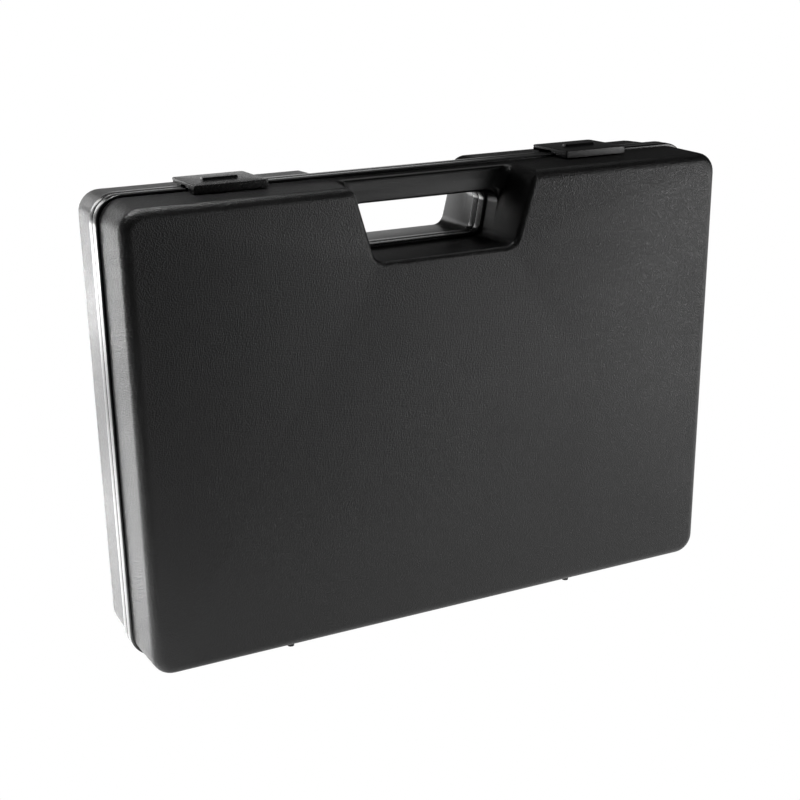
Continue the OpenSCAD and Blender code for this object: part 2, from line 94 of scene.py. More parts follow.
@dataclass(frozen=True)
class Plastic:
    """A black moulded plastic.

    Attributes:
        name: Name of the Blender material.
        base: Linear base colour.
        lighter: Linear colour of the scuffed and dusty places.
        roughness: Roughness of the clean surface.
        roughness_spread: How far the roughness wanders over the surface.
        grain_scale: Cells of the moulded grain in a metre, or 0 for a smooth surface.
        grain_depth: Depth of the grain, in metres.
        specular: Specular level.
        wear: Strength of the rubbed edges, 0 to 1.
    """

    name: str
    base: tuple[float, float, float]
    lighter: tuple[float, float, float]
    roughness: float
    roughness_spread: float
    grain_scale: float
    grain_depth: float
    specular: float
    wear: float


@dataclass(frozen=True)
class Metal:
    """A drawn steel.

    Attributes:
        name: Name of the Blender material.
        base: Linear base colour.
        roughness: Roughness of the drawn surface.
    """

    name: str
    base: tuple[float, float, float]
    roughness: float


SHELL_FINISH = Plastic(
    name="grained_black_shell",
    base=(0.0042, 0.0042, 0.0044),
    lighter=(0.02, 0.02, 0.021),
    roughness=0.4,
    roughness_spread=0.08,
    grain_scale=1150.0,
    grain_depth=0.00015,
    specular=0.5,
    wear=0.08,
)
RIM_FINISH = Plastic(
    name="polished_black_rim",
    base=(0.006, 0.006, 0.0062),
    lighter=(0.03, 0.03, 0.031),
    roughness=0.2,
    roughness_spread=0.08,
    grain_scale=0.0,
    grain_depth=0.0,
    specular=0.55,
    wear=0.35,
)
LATCH_FINISH = Plastic(
    name="satin_black_latch",
    base=(0.006, 0.006, 0.0062),
    lighter=(0.025, 0.025, 0.026),
    roughness=0.28,
    roughness_spread=0.10,
    grain_scale=1500.0,
    grain_depth=0.00003,
    specular=0.5,
    wear=0.4,
)
PIN_FINISH = Metal(name="drawn_steel_pin", base=(0.56, 0.56, 0.58), roughness=0.28)


@dataclass(frozen=True)
class Ramp:
    """A smooth ramp from one range of values onto another.

    Attributes:
        low: Start of the incoming range.
        high: End of the incoming range.
        to_low: Start of the outgoing range.
        to_high: End of the outgoing range.
    """

    low: float
    high: float
    to_low: float = 0.0
    to_high: float = 1.0


@dataclass(frozen=True)
class GrainShape:
    """The moulded grain's shape, shared by every grained plastic.

    Attributes:
        draw: Stretch of the pattern, less than 1 along the direction the mould opens in.
        warp_scale: Scale of the noise that bends the cells.
        warp: How far it bends them, in metres.
        smoothness: Smoothness of the cells' domes.
        dome: Height of a dome over the distance from its middle.
        crease: Height beside a crease over the distance from it.
        crease_scale: Scale of the creases beside that of the cells.
        crease_share: Share of the creases in the height.
    """

    draw: tuple[float, float, float] = (1.0, 0.3, 1.0)
    warp_scale: float = 260.0
    warp: float = 0.0028
    smoothness: float = 0.25
    dome: Ramp = Ramp(0.15, 0.75, 1.0, 0.0)
    crease: Ramp = Ramp(0.0, 0.12)
    crease_scale: float = 0.8
    crease_share: float = 0.2


@dataclass(frozen=True)
class PlainZone:
    """The handle and its recess, which the mould leaves almost without grain.

    Attributes:
        half_width: Half of the recess's width at its floor, in metres.
        low: Height of that floor, in metres.
        depth: Depth of the faces from the parting plane, in metres.
        lean: How much each side leans outwards over its height.
        border: Half of the width of the change, in metres.
        grain: Share of the grain that is left inside.
        sheen: Share of the roughness that is left inside.
    """

    half_width: float = 0.0535
    low: float = 0.2475
    depth: float = 0.0445
    lean: float = 0.19
    border: float = 0.0008
    grain: float = 0.12
    sheen: float = 0.8


GRAIN = GrainShape()
PLAIN = PlainZone()
# Scale of the slow change of sheen, and how much finer its second layer is.
MOTTLE_SCALE = 9.0
MOTTLE_FINE = 70.0
# Depth of the unevenness of a polished plastic, in metres.
POLISHED_BUMP = 0.00001
# The part of a noise's range that is used.
NOISE_LOW, NOISE_HIGH = 0.3, 0.7
# Rubbing over the cosine of the turn at an edge, and over the noise that breaks it up.
WEAR_EDGE = Ramp(0.999, 0.9)
WEAR_BREAK = Ramp(0.42, 0.68)
# Scale of the drawn lines along X and across it, and how far they change the roughness.
STEEL_LINES = (40.0, 4000.0, 4000.0)
STEEL_SPREAD = 0.08


class NodeTree:
    """Builds shader nodes with short calls."""

    def __init__(self, tree: bpy.types.NodeTree) -> None:
        """Wraps a node tree.

        Args:
            tree: The tree that nodes are added to.
        """
        self.tree = tree

    def add(self, kind: str, **settings: object) -> bpy.types.Node:
        """Adds a node.

        Args:
            kind: Blender's name of the node type.
            **settings: Properties to set on the node; a dict named inputs sets sockets.

        Returns:
            The new node.
        """
        node = self.tree.nodes.new(kind)
        for name, value in dict(settings.pop("inputs", {})).items():
            self.feed(node.inputs[name], value)
        for name, value in settings.items():
            setattr(node, name, value)
        return node

    def feed(self, socket: bpy.types.NodeSocket, value: object) -> None:
        """Links a socket to an output, or sets its value.

        Args:
            socket: The input socket.
            value: An output socket, or a constant.
        """
        if isinstance(value, bpy.types.NodeSocket):
            self.tree.links.new(value, socket)
        else:
            socket.default_value = value

    def math(self, operation: str, a: object, b: object = 0.0) -> bpy.types.NodeSocket:
        """Adds a math node.

        Args:
            operation: The math operation.
            a: First value or socket.
            b: Second value or socket.

        Returns:
            The node's output socket.
        """
        node = self.add("ShaderNodeMath", operation=operation)
        self.feed(node.inputs[0], a)
        self.feed(node.inputs[1], b)
        return node.outputs[0]

    def remap(self, value: bpy.types.NodeSocket, ramp: Ramp) -> bpy.types.NodeSocket:
        """Maps a range of values onto another.

        Args:
            value: The incoming socket.
            ramp: The ramp between the ranges.

        Returns:
            The mapped socket.
        """
        node = self.add("ShaderNodeMapRange", interpolation_type="SMOOTHSTEP")
        self.feed(node.inputs["Value"], value)
        for name, number in (
            ("From Min", ramp.low),
            ("From Max", ramp.high),
            ("To Min", ramp.to_low),
            ("To Max", ramp.to_high),
        ):
            node.inputs[name].default_value = number
        return node.outputs["Result"]

    def vector(self, operation: str, a: object, b: object) -> bpy.types.NodeSocket:
        """Adds a vector math node.

        Args:
            operation: The vector operation.
            a: First vector or socket.
            b: Second vector or socket; for SCALE, the factor.

        Returns:
            The node's vector output socket.
        """
        node = self.add("ShaderNodeVectorMath", operation=operation)
        self.feed(node.inputs[0], a)
        self.feed(node.inputs["Scale" if operation == "SCALE" else 1], b)
        return node.outputs["Vector"]

    def split(self, vector: bpy.types.NodeSocket) -> bpy.types.bpy_prop_collection:
        """Splits a vector into its parts.

        Args:
            vector: The vector's socket.

        Returns:
            The outputs X, Y and Z.
        """
        node = self.add("ShaderNodeSeparateXYZ")
        self.feed(node.inputs[0], vector)
        return node.outputs


class EffectGroups:
    """Shader node groups that the materials share, each built once."""

    def __init__(self) -> None:
        """Builds the groups."""
        self.grain = self._grain()
        self.wear = self._wear()
        self.mottle = self._mottle()
        self.plain_zone = self._plain_zone()

    @staticmethod
    def _new(name: str, inputs: dict[str, float], outputs: tuple[str, ...]) -> bpy.types.NodeTree:
        """Makes an empty group with its sockets, all of them single values.

        Args:
            name: The group's name.
            inputs: Name and default of each input.
            outputs: Name of each output.

        Returns:
            The new group.
        """
        group = bpy.data.node_groups.new(name, "ShaderNodeTree")
        kind = "NodeSocketFloat"
        for label, default in inputs.items():
            socket = group.interface.new_socket(label, in_out="INPUT", socket_type=kind)
            socket.default_value = default
        for label in outputs:
            group.interface.new_socket(label, in_out="OUTPUT", socket_type=kind)
        return group

    def _grain(self) -> bpy.types.NodeTree:
        """Builds the moulded leather grain: rounded cells of uneven size between fine creases.

        Returns:
            The group, which puts out a height from 0 to 1.
        """
        inputs = {"Scale": 600.0, "Creases": GRAIN.crease_share, "Cover": 1.0}
        group = self._new("leather_grain", inputs, ("Height",))
        t = NodeTree(group)
        given = t.add("NodeGroupInput")
        place = t.vector("MULTIPLY", t.add("ShaderNodeTexCoord").outputs["Object"], GRAIN.draw)
        bends = {"Vector": place, "Scale": GRAIN.warp_scale, "Detail": 2.0, "Roughness": 0.6}
        warp = t.add("ShaderNodeTexNoise", inputs=bends)
        shift = t.vector("SUBTRACT", warp.outputs["Color"], (0.5, 0.5, 0.5))
        moved = t.vector("ADD", place, t.vector("SCALE", shift, GRAIN.warp))
        cells = t.add("ShaderNodeTexVoronoi", feature="SMOOTH_F1")
        t.feed(cells.inputs["Vector"], moved)
        t.feed(cells.inputs["Scale"], given.outputs["Scale"])
        cells.inputs["Smoothness"].default_value = GRAIN.smoothness
        domes = t.remap(cells.outputs["Distance"], GRAIN.dome)
        edges = t.add("ShaderNodeTexVoronoi", feature="DISTANCE_TO_EDGE")
        t.feed(edges.inputs["Vector"], moved)
        finer = t.math("MULTIPLY", given.outputs["Scale"], GRAIN.crease_scale)
        t.feed(edges.inputs["Scale"], finer)
        creases = t.remap(edges.outputs["Distance"], GRAIN.crease)
        mix = t.math(
            "ADD",
            t.math("MULTIPLY", domes, t.math("SUBTRACT", 1.0, given.outputs["Creases"])),
            t.math("MULTIPLY", creases, given.outputs["Creases"]),
        )
        out = t.add("NodeGroupOutput")
        t.feed(out.inputs["Height"], t.math("MULTIPLY", mix, given.outputs["Cover"]))
        return group

    def _plain_zone(self) -> bpy.types.NodeTree:
        """Builds the mask of the handle and its recess.

        Returns:
            The group, which puts out 1 on the grained outside and the share of the grain that
            is left in the recess.
        """
        inputs = {"Half Width": PLAIN.half_width, "Low": PLAIN.low, "Depth": PLAIN.depth}
        group = self._new("plain_zone", inputs, ("Mask",))
        t = NodeTree(group)
        given = t.add("NodeGroupInput")
        place = t.split(t.add("ShaderNodeTexCoord").outputs["Object"])
        rise = t.math("SUBTRACT", place["Z"], given.outputs["Low"])
        across = t.math("ABSOLUTE", place["X"])
        beside = t.math("SUBTRACT", across, t.math("MULTIPLY", rise, PLAIN.lean))
        past_side = t.math("SUBTRACT", beside, given.outputs["Half Width"])
        past_face = t.math("SUBTRACT", t.math("ABSOLUTE", place["Y"]), given.outputs["Depth"])
        below = t.math("MULTIPLY", rise, -1.0)
        outside = t.math("MAXIMUM", t.math("MAXIMUM", past_side, past_face), below)
        out = t.add("NodeGroupOutput")
        ramp = Ramp(-PLAIN.border, PLAIN.border, PLAIN.grain, 1.0)
        t.feed(out.inputs["Mask"], t.remap(outside, ramp))
        return group

    def _wear(self) -> bpy.types.NodeTree:
        """Builds the rubbed edges: a mask where the surface turns sharply, broken up by noise.

        Returns:
            The group, which puts out a mask from 0 to 1.
        """
        group = self._new("edge_wear", {"Amount": 0.3, "Radius": 0.0012}, ("Mask",))
        t = NodeTree(group)
        given = t.add("NodeGroupInput")
        place = t.add("ShaderNodeTexCoord").outputs["Object"]
        bevel = t.add("ShaderNodeBevel", samples=6)
        t.feed(bevel.inputs["Radius"], given.outputs["Radius"])
        flat = t.add("ShaderNodeNewGeometry")
        turn = t.add("ShaderNodeVectorMath", operation="DOT_PRODUCT")
        t.feed(turn.inputs[0], bevel.outputs["Normal"])
        t.feed(turn.inputs[1], flat.outputs["Normal"])
        edge = t.remap(turn.outputs["Value"], WEAR_EDGE)
        noise = t.add(
            "ShaderNodeTexNoise",
            inputs={"Vector": place, "Scale": 180.0, "Detail": 4.0, "Roughness": 0.65},
        )
        broken = t.remap(noise.outputs["Fac"], WEAR_BREAK)
        mask = t.math("MULTIPLY", t.math("MULTIPLY", edge, broken), given.outputs["Amount"])
        out = t.add("NodeGroupOutput")
        t.feed(out.inputs["Mask"], mask)
        return group

    def _mottle(self) -> bpy.types.NodeTree:
        """Builds the slow, cloudy change of sheen that handling and moulding leave.

        Returns:
            The group, which puts out a broad and a fine value, each from 0 to 1.
        """
        group = self._new("sheen_mottle", {"Scale": MOTTLE_SCALE}, ("Broad", "Fine"))
        t = NodeTree(group)
        given = t.add("NodeGroupInput")
        place = t.add("ShaderNodeTexCoord").outputs["Object"]
        broad = t.add("ShaderNodeTexNoise", inputs={"Vector": place, "Detail": 3.0})
        t.feed(broad.inputs["Scale"], given.outputs["Scale"])
        fine = t.add("ShaderNodeTexNoise", inputs={"Vector": place, "Detail": 2.0})
        t.feed(fine.inputs["Scale"], t.math("MULTIPLY", given.outputs["Scale"], MOTTLE_FINE))
        out = t.add("NodeGroupOutput")
        t.feed(out.inputs["Broad"], broad.outputs["Fac"])
        t.feed(out.inputs["Fine"], fine.outputs["Fac"])
        return group


class MaterialShop:
    """Makes the materials from their finishes."""

    def __init__(self) -> None:
        """Builds the shared groups."""
        self.groups = EffectGroups()

    @staticmethod
    def _group(t: NodeTree, group: bpy.types.NodeTree, **values: float) -> bpy.types.Node:
        """Places a shared group in a material.

        Args:
            t: The material's node tree.
            group: The shared group.
            **values: Values of its inputs.

        Returns:
            The group node.
        """
        node = t.add("ShaderNodeGroup", node_tree=group)
        for name, value in values.items():
            node.inputs[name].default_value = value
        return node

    @staticmethod
    def _blank(name: str) -> tuple[bpy.types.Material, NodeTree, bpy.types.Node]:
        """Makes a material that holds only a Principled BSDF and its output.

        Args:
            name: The material's name.

        Returns:
            The material, its node tree and its BSDF.
        """
        material = bpy.data.materials.new(name)
        material.use_nodes = True
        material.node_tree.nodes.clear()
        t = NodeTree(material.node_tree)
        bsdf = t.add("ShaderNodeBsdfPrincipled")
        out = t.add("ShaderNodeOutputMaterial")
        t.feed(out.inputs["Surface"], bsdf.outputs["BSDF"])
        return material, t, bsdf

    def plastic(self, finish: Plastic) -> bpy.types.Material:
        """Makes a moulded plastic.

        Args:
            finish: The plastic's values.

        Returns:
            The material.
        """
        material, t, bsdf = self._blank(finish.name)
        mottle = self._group(t, self.groups.mottle, Scale=MOTTLE_SCALE)
        wear = self._group(t, self.groups.wear, Amount=finish.wear)
        tint = t.add("ShaderNodeMix", data_type="RGBA")
        t.feed(tint.inputs["Factor"], wear.outputs["Mask"])
        tint.inputs[6].default_value = (*finish.base, 1.0)
        tint.inputs[7].default_value = (*finish.lighter, 1.0)
        t.feed(bsdf.inputs["Base Color"], tint.outputs[2])
        half = finish.roughness_spread / 2
        slow = Ramp(NOISE_LOW, NOISE_HIGH, finish.roughness - half, finish.roughness + half)
        quick = Ramp(NOISE_LOW, NOISE_HIGH, -half / 2, half / 2)
        broad = t.remap(mottle.outputs["Broad"], slow)
        rough = t.math("ADD", broad, t.remap(mottle.outputs["Fine"], quick))
        bsdf.inputs["Specular IOR Level"].default_value = finish.specular
        bump = t.add("ShaderNodeBump")
        bump.inputs["Strength"].default_value = 1.0
        if finish.grain_scale:
            grain = self._group(
                t, self.groups.grain, Scale=finish.grain_scale, Creases=GRAIN.crease_share
            )
            zone = self._group(t, self.groups.plain_zone)
            t.feed(grain.inputs["Cover"], zone.outputs["Mask"])
            sheen = t.remap(zone.outputs["Mask"], Ramp(PLAIN.grain, 1.0, PLAIN.sheen, 1.0))
            rough = t.math("MULTIPLY", rough, sheen)
            bump.inputs["Distance"].default_value = finish.grain_depth
            t.feed(bump.inputs["Height"], grain.outputs["Height"])
        else:
            bump.inputs["Distance"].default_value = POLISHED_BUMP
            t.feed(bump.inputs["Height"], mottle.outputs["Fine"])
        t.feed(bsdf.inputs["Roughness"], rough)
        t.feed(bsdf.inputs["Normal"], bump.outputs["Normal"])
        return material

    def steel(self, finish: Metal) -> bpy.types.Material:
        """Makes a drawn steel with fine lines along X.

        Args:
            finish: The steel's values.

        Returns:
            The material.
        """
        material, t, bsdf = self._blank(finish.name)
        place = t.add("ShaderNodeTexCoord").outputs["Object"]
        stretch = t.add("ShaderNodeMapping")
        t.feed(stretch.inputs["Vector"], place)
        stretch.inputs["Scale"].default_value = STEEL_LINES
        lines = t.add("ShaderNodeTexNoise", inputs={"Scale": 1.0, "Detail": 2.0})
        t.feed(lines.inputs["Vector"], stretch.outputs["Vector"])
        bsdf.inputs["Base Color"].default_value = (*finish.base, 1.0)
        bsdf.inputs["Metallic"].default_value = 1.0
        dull, bright = finish.roughness + STEEL_SPREAD, finish.roughness - STEEL_SPREAD
        ramp = Ramp(NOISE_LOW, NOISE_HIGH, bright, dull)
        t.feed(bsdf.inputs["Roughness"], t.remap(lines.outputs["Fac"], ramp))
        return material


# ---- CAD nodes --------------------------------------------------------------------------------


class SmoothFacets:
    """A modifier that shades a CAD node's rounded edges smoothly and leaves its mesh alone.

    Attributes:
        MERGE: Distance within which the facets' corners count as one, in metres.
    """

    MERGE = 0.000002

    def __init__(self, angle_deg: float) -> None:
        """Builds the modifier's node group.

        Args:
            angle_deg: Edges that turn by more than this stay sharp.
        """
        group = bpy.data.node_groups.new("smooth_facets", "GeometryNodeTree")
        group.interface.new_socket("Geometry", in_out="INPUT", socket_type="NodeSocketGeometry")
        group.interface.new_socket("Geometry", in_out="OUTPUT", socket_type="NodeSocketGeometry")
        t = NodeTree(group)
        given = t.add("NodeGroupInput")
        bare = t.add("GeometryNodeRemoveAttribute")
        t.feed(bare.inputs["Geometry"], given.outputs["Geometry"])
        bare.inputs["Name"].default_value = "custom_normal"
        merge = t.add("GeometryNodeMergeByDistance")
        t.feed(merge.inputs["Geometry"], bare.outputs["Geometry"])
        merge.inputs["Distance"].default_value = self.MERGE
        faces = t.add("GeometryNodeSetShadeSmooth")
        t.feed(faces.inputs["Geometry"], merge.outputs["Geometry"])
        faces.inputs["Shade Smooth"].default_value = True
        turn = t.add("GeometryNodeInputMeshEdgeAngle")
        edges = t.add("GeometryNodeSetShadeSmooth", domain="EDGE")
        t.feed(edges.inputs["Geometry"], faces.outputs["Geometry"])
        gentle = t.add("ShaderNodeMath", operation="LESS_THAN")
        t.feed(gentle.inputs[0], turn.outputs["Unsigned Angle"])
        gentle.inputs[1].default_value = math.radians(angle_deg)
        t.feed(edges.inputs["Shade Smooth"], gentle.outputs[0])
        out = t.add("NodeGroupOutput")
        t.feed(out.inputs["Geometry"], edges.outputs["Geometry"])
        self.group = group

    def apply_to(self, node: bpy.types.Object) -> None:
        """Adds the modifier to a CAD node.

        Args:
            node: The CAD node's object.
        """
        modifier = node.modifiers.new("smooth_facets", "NODES")
        modifier.node_group = self.group


class RoundedEdges:
    """Breaks the sharp edges of a CAD node, as its mould would."""

    def __init__(self, width: float, angle_deg: float) -> None:
        """Keeps the sizes.

        Args:
            width: Width of the broken edge, in metres.
            angle_deg: Angle from which an edge counts as sharp.
        """
        self.width = width
        self.angle = math.radians(angle_deg)

    def apply_to(self, obj: bpy.types.Object) -> None:
        """Adds the modifier.

        Args:
            obj: The object to round.
        """
        rounding = obj.modifiers.new("rounded_edges", "BEVEL")
        rounding.width = self.width
        rounding.segments = 2
        rounding.limit_method = "ANGLE"
        rounding.angle_limit = self.angle


class CadLooks:
    """Gives the CAD nodes that stay in view their material and smooth shading."""

    def __init__(self, frame: dict, shop: MaterialShop) -> None:
        """Prepares the finishes.

        Args:
            shop: The material shop.
        """
        self.nodes = frame["nodes"]
        self.smooth = SmoothFacets(angle_deg=24.0)
        self.edges = RoundedEdges(width=0.00035, angle_deg=40.0)
        self.materials = {
            "shell": shop.plastic(SHELL_FINISH),
            "rim": shop.plastic(RIM_FINISH),
            "latch": shop.plastic(LATCH_FINISH),
            "pin": shop.steel(PIN_FINISH),
        }

    def dress(self, node: str, look: str, rounded: bool = False) -> None:
        """Dresses one CAD node.

        Args:
            node: The node's name.
            look: Key of its material.
            rounded: Whether its sharp edges are broken as well.
        """
        obj = self.nodes[node]
        obj.data.materials.clear()
        obj.data.materials.append(self.materials[look])
        if rounded:
            self.edges.apply_to(obj)
        self.smooth.apply_to(obj)
        LOG.info("dressed %s as %s", node, look)

    def dress_all(self) -> None:
        """Dresses every CAD node."""
        self.dress("front_shell", "shell")
        self.dress("rear_shell", "shell")
        self.dress("front_rim", "rim")
        self.dress("rear_rim", "rim")
        for node in ("latch_left", "latch_right"):
            self.dress(node, "latch", rounded=True)
        for node in ("hinge_pin_left", "hinge_pin_right"):
            self.dress(node, "pin")


# ---- rim bands --------------------------------------------------------------------------------


class MeshLoft:
    """Joins rings of points into one closed mesh."""

    @staticmethod
    def make(name: str, rings: list[list[Vector]], looped: bool) -> bpy.types.Object:
        """Makes an object from rings that have equally many points.

        Args:
            name: The object's name.
            rings: The rings, in order, in metres.
            looped: Whether the last ring joins the first; otherwise both ends are closed.

        Returns:
            The new object, with its sharp edges marked by angle.
        """
        shape = bmesh.new()
        rows = [[shape.verts.new(point) for point in ring] for ring in rings]
        count = len(rows[0])
        pairs = list(zip(rows, rows[1:])) + ([(rows[-1], rows[0])] if looped else [])
        for near, far in pairs:
            for k in range(count):
                after = (k + 1) % count
                shape.faces.new((near[k], near[after], far[after], far[k]))
        if not looped:
            shape.faces.new(rows[0])
            shape.faces.new(list(reversed(rows[-1])))
        bmesh.ops.recalc_face_normals(shape, faces=shape.faces)
        for face in shape.faces:
            face.smooth = True
        for edge in shape.edges:
            edge.smooth = edge.calc_face_angle(0.0) < math.radians(SHARP_EDGE_DEG)
        mesh = bpy.data.meshes.new(name)
        shape.to_mesh(mesh)
        shape.free()
        piece = bpy.data.objects.new(name, mesh)
        bpy.context.scene.collection.objects.link(piece)
        return piece


@dataclass(frozen=True)
class BandSizes:
    """Sizes of the polished bands, in millimetres in the case's frame.

    Attributes:
        half_width: Half of the case's width over the rim.
        low: Height of the rim's lower edge.
        high: Height of its upper edge.
        corner_r: Its corner radius.
        near: Depth of the band's edge at the parting line.
        far: Depth of its edge at the shell.
        proud: How far the rim stands proud of the shells.
        root: How far the band reaches below its crest.
        skin: How far it lies outside the rim that it covers.
        near_r: Rounding at the parting line.
        far_r: Rounding at the shell.
        crown: Rise of the band's middle.
        station_x: Middle of the gap for each slide, left then right.
        station_half: Half of that gap.
        foot_x: How far the band runs along the bottom, from the middle.
        sill: Height of the finger opening's lower edge.
        lintel: Height of its upper edge.
        sill_half: Half of its width at the lower edge.
        lintel_half: Half of its width at the upper edge.
        sill_r: Radius of its lower corners.
        lintel_r: Radius of its upper corners.
        edge_steps: Steps round each edge of the section.
        crown_steps: Steps across its crown.
        corner_steps: Steps round each corner of the case.
        opening_steps: Steps round each corner of the finger opening.
    """

    half_width: float = 210.0
    low: float = 6.0
    high: float = 302.0
    corner_r: float = 16.5
    near: float = 0.16
    far: float = 7.2
    proud: float = 1.8
    root: float = 1.9
    skin: float = 0.03
    near_r: float = 0.55
    far_r: float = 0.8
    crown: float = 0.1
    station_x: tuple[float, float] = (-130.6, 126.4)
    station_half: float = 23.5
    foot_x: float = 168.0
    sill: float = 254.1
    lintel: float = 284.2
    sill_half: float = 46.5
    lintel_half: float = 52.2
    sill_r: float = 8.0
    lintel_r: float = 7.0
    edge_steps: int = 4
    crown_steps: int = 8
    corner_steps: int = 16
    opening_steps: int = 10


def quarter_turn(steps: int) -> list[float]:
    """Divides a quarter of a turn evenly.

    Args:
        steps: Number of equal steps.

    Returns:
        The angles from nothing to a quarter of a turn, in radians.
    """
    return [math.radians(90 * step / steps) for step in range(steps + 1)]


@dataclass(frozen=True)
class BandHalf:
    """One half of the case, as the bands see it.

    Attributes:
        name: First word of its bands' names.
        side: -1 towards the front, 1 towards the back.
        body: The body that its bands ride on.
        slot: The record's slot of its rim; not used.
    """

    name: str
    side: int
    body: Body
    slot: Slot


BAND_HALVES = (
    BandHalf("lid", -1, Body.LID, Slot.LID_RIM),
    BandHalf("base", 1, Body.BASE, Slot.BASE_RIM),
)
# Points in a plane, in order.
Path = list[tuple[float, float]]


class RimBands:
    """The polished bands that edge both halves of the case and its finger opening."""

    def __init__(self, sizes: BandSizes, material: bpy.types.Material) -> None:
        """Keeps the sizes and the finish.

        Args:
            sizes: The bands' sizes.
            material: The polished plastic.
        """
        self.sizes = sizes
        self.material = material

    def section(self) -> Path:
        """Works out the band's section.

        Returns:
            Points of (sink below the crest, depth from the parting plane), in millimetres.
        """
        s = self.sizes
        points = [(s.root, s.near)]
        for a in quarter_turn(s.edge_steps):
            points.append((s.near_r * (1 - math.sin(a)), s.near + s.near_r * (1 - math.cos(a))))
        start, end = s.near + s.near_r, s.far - s.far_r
        middle, half = (start + end) / 2, (end - start) / 2
        for step in range(1, s.crown_steps):
            y = start + (end - start) * step / s.crown_steps
            points.append((-s.crown * (1 - ((y - middle) / half) ** 2), y))
        for a in quarter_turn(s.edge_steps):
            points.append((s.far_r * (1 - math.cos(a)), s.far - s.far_r * (1 - math.sin(a))))
        points.append((s.root, s.far))
        return points

    def outline(self, sink: float) -> Path:
        """Works out the case's outline from the bottom left, clockwise, to the bottom right.

        Args:
            sink: Distance inside the crest, in millimetres.

        Returns:
            Points of (x, z), in millimetres.
        """
        s = self.sizes
        r = s.corner_r + s.skin - sink
        right = s.half_width - s.corner_r
        bottom, top = s.low + s.corner_r, s.high - s.corner_r
        corners = ((-right, bottom, 270), (-right, top, 180), (right, top, 90), (right, bottom, 0))
        points = [(-s.foot_x, bottom - r)]
        for x, z, first in corners:
            for turned in quarter_turn(s.corner_steps):
                a = math.radians(first) - turned
                points.append((x + r * math.cos(a), z + r * math.sin(a)))
        points.append((s.foot_x, bottom - r))
        return points

    def opening(self, sink: float) -> Path:
        """Works out the finger opening's outline.

        Args:
            sink: Distance outside the crest, in millimetres.

        Returns:
            Points of (x, z), in millimetres, from the lower left, anticlockwise.
        """
        s = self.sizes
        grow = sink - s.skin - s.proud
        slope = (s.lintel_half - s.sill_half) / (s.lintel - s.sill)
        low, high = s.sill - grow, s.lintel + grow
        wide = [s.sill_half + slope * (z - s.sill) + grow for z in (low, high)]
        lean = math.degrees(math.atan(slope))
        points = []
        for side, level, first, last in (
            (-1, 0, 180 + lean, 270),
            (1, 0, 270, 360 - lean),
            (1, 1, -lean, 90),
            (-1, 1, 90, 180 + lean),
        ):
            r = (s.lintel_r if level else s.sill_r) + grow
            z = (high - r) if level else (low + r)
            edge = wide[level] + slope * (z - (high if level else low))
            x = side * (edge - r * math.hypot(1.0, slope))
            for step in range(s.opening_steps + 1):
                a = math.radians(first + (last - first) * step / s.opening_steps)
                points.append((x + r * math.cos(a), z + r * math.sin(a)))
        return points

    def stretch(self, first: float | None, last: float | None) -> list[Path]:
        """Cuts the case's outline between two places along its top.

        Args:
            first: X where the stretch starts on the top, or None for the bottom left end.
            last: X where it ends on the top, or None for the bottom right end.

        Returns:
            For each point of the section, the stretch's points of (x, z).
        """
        s = self.sizes
        paths = []
        for sink, _ in self.section():
            whole = self.outline(sink)
            middle = len(whole) // 2
            top = s.high + s.skin - sink
            if first is None:
                path = whole[:middle] + [(last, top)]
            elif last is None:
                path = [(first, top)] + whole[middle:]
            else:
                path = [(first, top), (last, top)]
            paths.append(path)
        return paths

    def band(self, half: BandHalf, place: str, paths: list[Path], looped: bool = False) -> None:
        """Makes one band and puts it on its body.

        Args:
            half: The half of the case that it belongs to.
            place: Which of the half's bands it is.
            paths: For each point of the section, the band's points of (x, z).
            looped: Whether the band closes on itself.
        """
        section = self.section()
        rings = [
            [Vector((x, half.side * depth, z)) * MM for (x, z), (_, depth) in zip(ring, section)]
            for ring in zip(*paths)
        ]
        piece = MeshLoft.make(f"{half.name}_band_{place}", rings, looped)
        piece.data.materials.append(self.material)
        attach(piece, half.body.value)
        LOG.info("made %s", piece.name)

    def build(self) -> None:
        """Makes the bands of both halves."""
        s = self.sizes
        left, right = s.station_x
        gaps = (left - s.station_half, left + s.station_half)
        gaps += (right - s.station_half, right + s.station_half)
        stretches = {
            "left": self.stretch(None, gaps[0]),
            "middle": self.stretch(gaps[1], gaps[2]),
            "right": self.stretch(gaps[3], None),
        }
        opening = [self.opening(sink) for sink, _ in self.section()]
        for half in BAND_HALVES:
            for place, paths in stretches.items():
                self.band(half, place, paths)
            self.band(half, "opening", opening, looped=True)


# ---- studio -------------------------------------------------------------------------------------


@dataclass(frozen=True)
class CameraPose:
    """The photograph's camera.

    Attributes:
        sensor_mm: Width of the sensor.
        clip: Nearest and farthest distance in view, in metres.
        focal_px: Focal length in pixels of the 800-pixel frame.
        place_mm: Position, in millimetres in the case's frame.
        yaw: Turn from +Y towards +X, in degrees.
        pitch: Tilt below the horizon, in degrees.
        roll: Clockwise roll, in degrees.
        principal_px: Principal point in the frame, x then y.
    """

    sensor_mm: float = 36.0
    clip: tuple[float, float] = (0.05, 50.0)
    focal_px: float = 1404.056
    place_mm: tuple[float, float, float] = (-424.208, -797.796, 429.521)
    yaw: float = 25.539
    pitch: float = 19.56
    roll: float = 1.373
    principal_px: tuple[float, float] = (357.97, 452.87)


@dataclass(frozen=True)
class Softbox:
    """One soft lamp.

    Attributes:
        name: Name of the lamp.
        place: Position in metres.
        target: Point that it faces, in metres.
        size: Width and height of its panel, in metres.
        power: Power in watts.
        spread: Angle of its beam, in degrees.
    """

    name: str
    place: tuple[float, float, float]
    target: tuple[float, float, float]
    size: tuple[float, float]
    power: float
    spread: float


